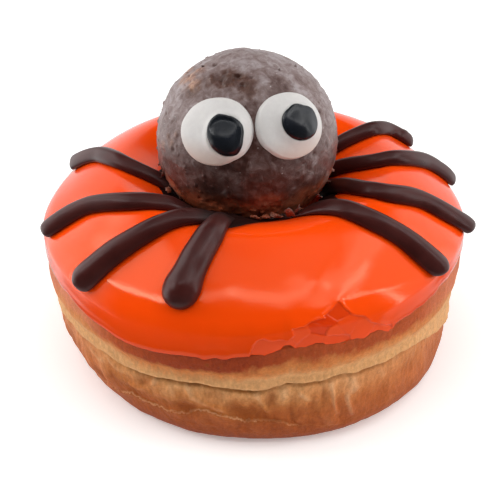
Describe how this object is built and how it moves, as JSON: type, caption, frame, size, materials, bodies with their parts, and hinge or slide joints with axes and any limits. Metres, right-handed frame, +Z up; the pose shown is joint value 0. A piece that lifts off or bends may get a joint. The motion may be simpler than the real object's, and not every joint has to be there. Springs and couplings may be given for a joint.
{
  "type": "decorated halloween ring doughnut",
  "caption": "Raised ring doughnut dipped in orange icing, with a glazed chocolate cake ball in its hole, sugar eyes and curved piped chocolate legs that make it a spider.",
  "frame": {"origin": "middle of the footprint, on the flat surface that the doughnut stands on", "axes": "+Z up, -Y towards the front that the eyes face, +X to the right as seen from the front"},
  "size_m": [0.0966, 0.0959, 0.071],
  "materials": {
    "fried_dough": "fried crust, golden brown with a paler band round the side",
    "orange_icing": "smooth set icing with a soft gloss",
    "glazed_cake": "craggy chocolate cake crust under a thin dried sugar glaze",
    "white_sugar": "pressed sugar, satin",
    "black_sugar": "glossy coloured sugar",
    "piped_chocolate": "set piped chocolate, satin"
  },
  "bodies": {
    "root": {"ring_dough": "fried_dough", "orange_icing": "orange_icing", "chocolate_ball": "glazed_cake", "eye_left_white": "white_sugar", "eye_left_pupil": "black_sugar", "eye_right_white": "white_sugar", "eye_right_pupil": "black_sugar", "leg_left_1": "piped_chocolate", "leg_left_2": "piped_chocolate", "leg_left_3": "piped_chocolate", "leg_left_4": "piped_chocolate", "leg_right_1": "piped_chocolate", "leg_right_2": "piped_chocolate", "leg_right_3": "piped_chocolate", "leg_right_4": "piped_chocolate"}
  },
  "joints": []
}
